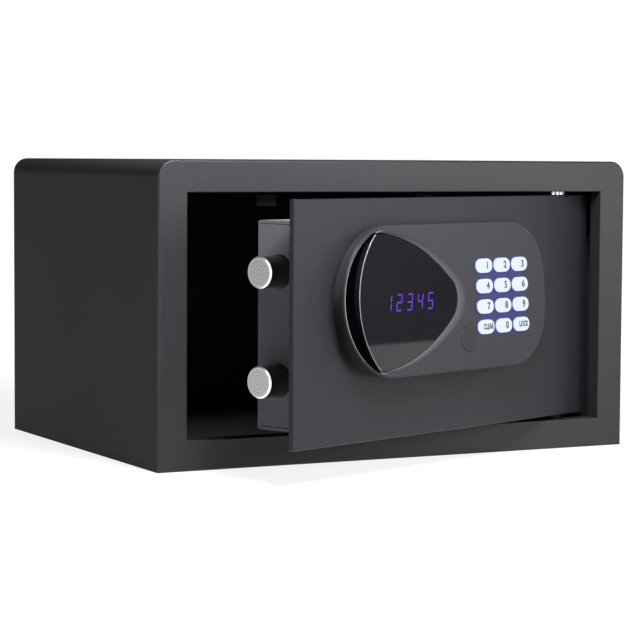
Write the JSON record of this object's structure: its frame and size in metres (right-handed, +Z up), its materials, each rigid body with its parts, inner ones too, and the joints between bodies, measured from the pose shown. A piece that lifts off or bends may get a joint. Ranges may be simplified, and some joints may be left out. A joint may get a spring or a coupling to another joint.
{
  "type": "in-room safe",
  "caption": "Low, wide in-room safe: a sheet-steel cabinet with a right-hinged door that carries motor-driven round bolts and a keypad lock with a lit display.",
  "frame": {"origin": "centre of the cabinet's underside, on the surface it stands on", "axes": "+X to the right and +Y to the back as seen from the front, +Z up"},
  "size_m": [0.356, 0.3676, 0.2],
  "materials": {
    "cabinet_paint": "fine-textured matte powder coat",
    "door_paint": "fine-textured matte powder coat",
    "polished_steel": "polished, with turned ends",
    "bright_steel": "ground",
    "zinc_steel": "zinc plated",
    "screw_steel": "black zinc",
    "buffer_rubber": "soft black",
    "mat_rubber": "fine-ribbed",
    "housing_plastic": "fine-grained",
    "recess_plastic": "smooth black",
    "lens_gloss": "polished smoked",
    "cap_plastic": "smooth",
    "key_plastic": "translucent, back-lit",
    "display_block": "black block with blue digits",
    "board_green": "solder-masked",
    "guide_clear": "clear acrylic sheet",
    "lock_brass": "turned",
    "cam_steel": "zinc plated",
    "pinion_acetal": "natural acetal",
    "gearbox_plastic": "moulded",
    "motor_can": "plated can",
    "tray_plastic": "moulded",
    "cell_jacket": "printed sleeve, plain",
    "contact_nickel": "nickel plated",
    "cable_grey": "flat cable",
    "reset_red": "smooth"
  },
  "bodies": {
    "cabinet": {"wrap_shell": "cabinet_paint", "back_panel": "cabinet_paint", "base_plate": "cabinet_paint", "front_frame": "cabinet_paint", "hinge_plates": "cabinet_paint", "hinge_collars": "polished_steel", "strike_plate": "cabinet_paint", "door_stops": "cabinet_paint", "stop_buffers": "buffer_rubber", "floor_mat": "mat_rubber"},
    "door": {"door_plate": "door_paint", "hinge_lugs": "door_paint", "hinge_pins": "bright_steel", "box_end_wall_free": "door_paint", "box_end_wall_hinge": "door_paint", "box_cover": "door_paint", "cover_screws": "screw_steel", "bolt_bushes": "gearbox_plastic", "guide_studs": "zinc_steel", "gearbox": "gearbox_plastic", "drive_motor": "motor_can", "motor_bracket": "zinc_steel", "lock_housing": "housing_plastic", "housing_screws": "screw_steel", "display_lens": "lens_gloss", "recess_liner": "recess_plastic", "display_module": "display_block", "keypad_board": "board_green", "light_guide": "guide_clear", "lock_barrel": "lock_brass", "barrel_nut": "zinc_steel", "battery_tray": "tray_plastic", "battery_cells": "cell_jacket", "battery_contacts": "contact_nickel", "control_board": "board_green", "board_standoffs": "lock_brass", "ribbon_cable": "cable_grey"},
    "bolts": {"bolt_carriage": "zinc_steel", "bolt_upper": "polished_steel", "bolt_lower": "polished_steel", "bolt_screws": "zinc_steel"},
    "pinion": {"drive_pinion": "pinion_acetal"},
    "override": {"lock_core": "lock_brass", "release_cam": "cam_steel"},
    "keyhole_cap": {"key_cover": "cap_plastic"},
    "lid": {"battery_lid": "tray_plastic"},
    "reset": {"reset_button": "reset_red"},
    "button_1": {"key_1": "key_plastic"},
    "button_2": {"key_2": "key_plastic"},
    "button_3": {"key_3": "key_plastic"},
    "button_4": {"key_4": "key_plastic"},
    "button_5": {"key_5": "key_plastic"},
    "button_6": {"key_6": "key_plastic"},
    "button_7": {"key_7": "key_plastic"},
    "button_8": {"key_8": "key_plastic"},
    "button_9": {"key_9": "key_plastic"},
    "button_clear": {"key_clear": "key_plastic"},
    "button_0": {"key_0": "key_plastic"},
    "button_lock": {"key_lock": "key_plastic"}
  },
  "joints": [
    {"name": "door_hinge", "type": "hinge", "parent": "cabinet", "child": "door", "pos_m": [0.1295, -0.121, 0.1], "axis": [0, 0, 1], "range_deg": [-21.7, 73.3]},
    {"name": "bolt_slide", "type": "slide", "parent": "door", "child": "bolts", "axis": [-0.9291, -0.3697, 0], "range_m": [0, 0.016]},
    {"name": "pinion_spin", "type": "hinge", "parent": "door", "child": "pinion", "pos_m": [-0.02751, -0.1781, 0.114], "axis": [-0.3697, 0.9291, 0], "range_deg": [0, 115]},
    {"name": "override_turn", "type": "hinge", "parent": "door", "child": "override", "pos_m": [0.01244, -0.16113, 0.0838], "axis": [0.3697, -0.9291, 0], "range_deg": [0, 180]},
    {"name": "keyhole_cap_pull", "type": "slide", "parent": "door", "child": "keyhole_cap", "axis": [0.369, -0.9273, 0.0619], "range_m": [0, 0.012]},
    {"name": "battery_lid_pull", "type": "slide", "parent": "door", "child": "lid", "axis": [-0.3697, 0.9291, 0], "range_m": [0, 0.015]},
    {"name": "reset_press", "type": "slide", "parent": "door", "child": "reset", "axis": [0.3697, -0.9291, 0], "range_m": [0, 0.0015], "stiffness_N_per_m": 300, "springref_m": -0.002},
    {"name": "press_1", "type": "slide", "parent": "door", "child": "button_1", "axis": [-0.369, 0.9273, -0.0619], "range_m": [0, 0.001], "stiffness_N_per_m": 300, "springref_m": -0.002},
    {"name": "press_2", "type": "slide", "parent": "door", "child": "button_2", "axis": [-0.369, 0.9273, -0.0619], "range_m": [0, 0.001], "stiffness_N_per_m": 300, "springref_m": -0.002},
    {"name": "press_3", "type": "slide", "parent": "door", "child": "button_3", "axis": [-0.369, 0.9273, -0.0619], "range_m": [0, 0.001], "stiffness_N_per_m": 300, "springref_m": -0.002},
    {"name": "press_4", "type": "slide", "parent": "door", "child": "button_4", "axis": [-0.369, 0.9273, -0.0619], "range_m": [0, 0.001], "stiffness_N_per_m": 300, "springref_m": -0.002},
    {"name": "press_5", "type": "slide", "parent": "door", "child": "button_5", "axis": [-0.369, 0.9273, -0.0619], "range_m": [0, 0.001], "stiffness_N_per_m": 300, "springref_m": -0.002},
    {"name": "press_6", "type": "slide", "parent": "door", "child": "button_6", "axis": [-0.369, 0.9273, -0.0619], "range_m": [0, 0.001], "stiffness_N_per_m": 300, "springref_m": -0.002},
    {"name": "press_7", "type": "slide", "parent": "door", "child": "button_7", "axis": [-0.369, 0.9273, -0.0619], "range_m": [0, 0.001], "stiffness_N_per_m": 300, "springref_m": -0.002},
    {"name": "press_8", "type": "slide", "parent": "door", "child": "button_8", "axis": [-0.369, 0.9273, -0.0619], "range_m": [0, 0.001], "stiffness_N_per_m": 300, "springref_m": -0.002},
    {"name": "press_9", "type": "slide", "parent": "door", "child": "button_9", "axis": [-0.369, 0.9273, -0.0619], "range_m": [0, 0.001], "stiffness_N_per_m": 300, "springref_m": -0.002},
    {"name": "press_clear", "type": "slide", "parent": "door", "child": "button_clear", "axis": [-0.369, 0.9273, -0.0619], "range_m": [0, 0.001], "stiffness_N_per_m": 300, "springref_m": -0.002},
    {"name": "press_0", "type": "slide", "parent": "door", "child": "button_0", "axis": [-0.369, 0.9273, -0.0619], "range_m": [0, 0.001], "stiffness_N_per_m": 300, "springref_m": -0.002},
    {"name": "press_lock", "type": "slide", "parent": "door", "child": "button_lock", "axis": [-0.369, 0.9273, -0.0619], "range_m": [0, 0.001], "stiffness_N_per_m": 300, "springref_m": -0.002}
  ],
  "couplings": [
    {"joint": "pinion_spin", "follows": "bolt_slide", "rad_per_m": 125}
  ]
}
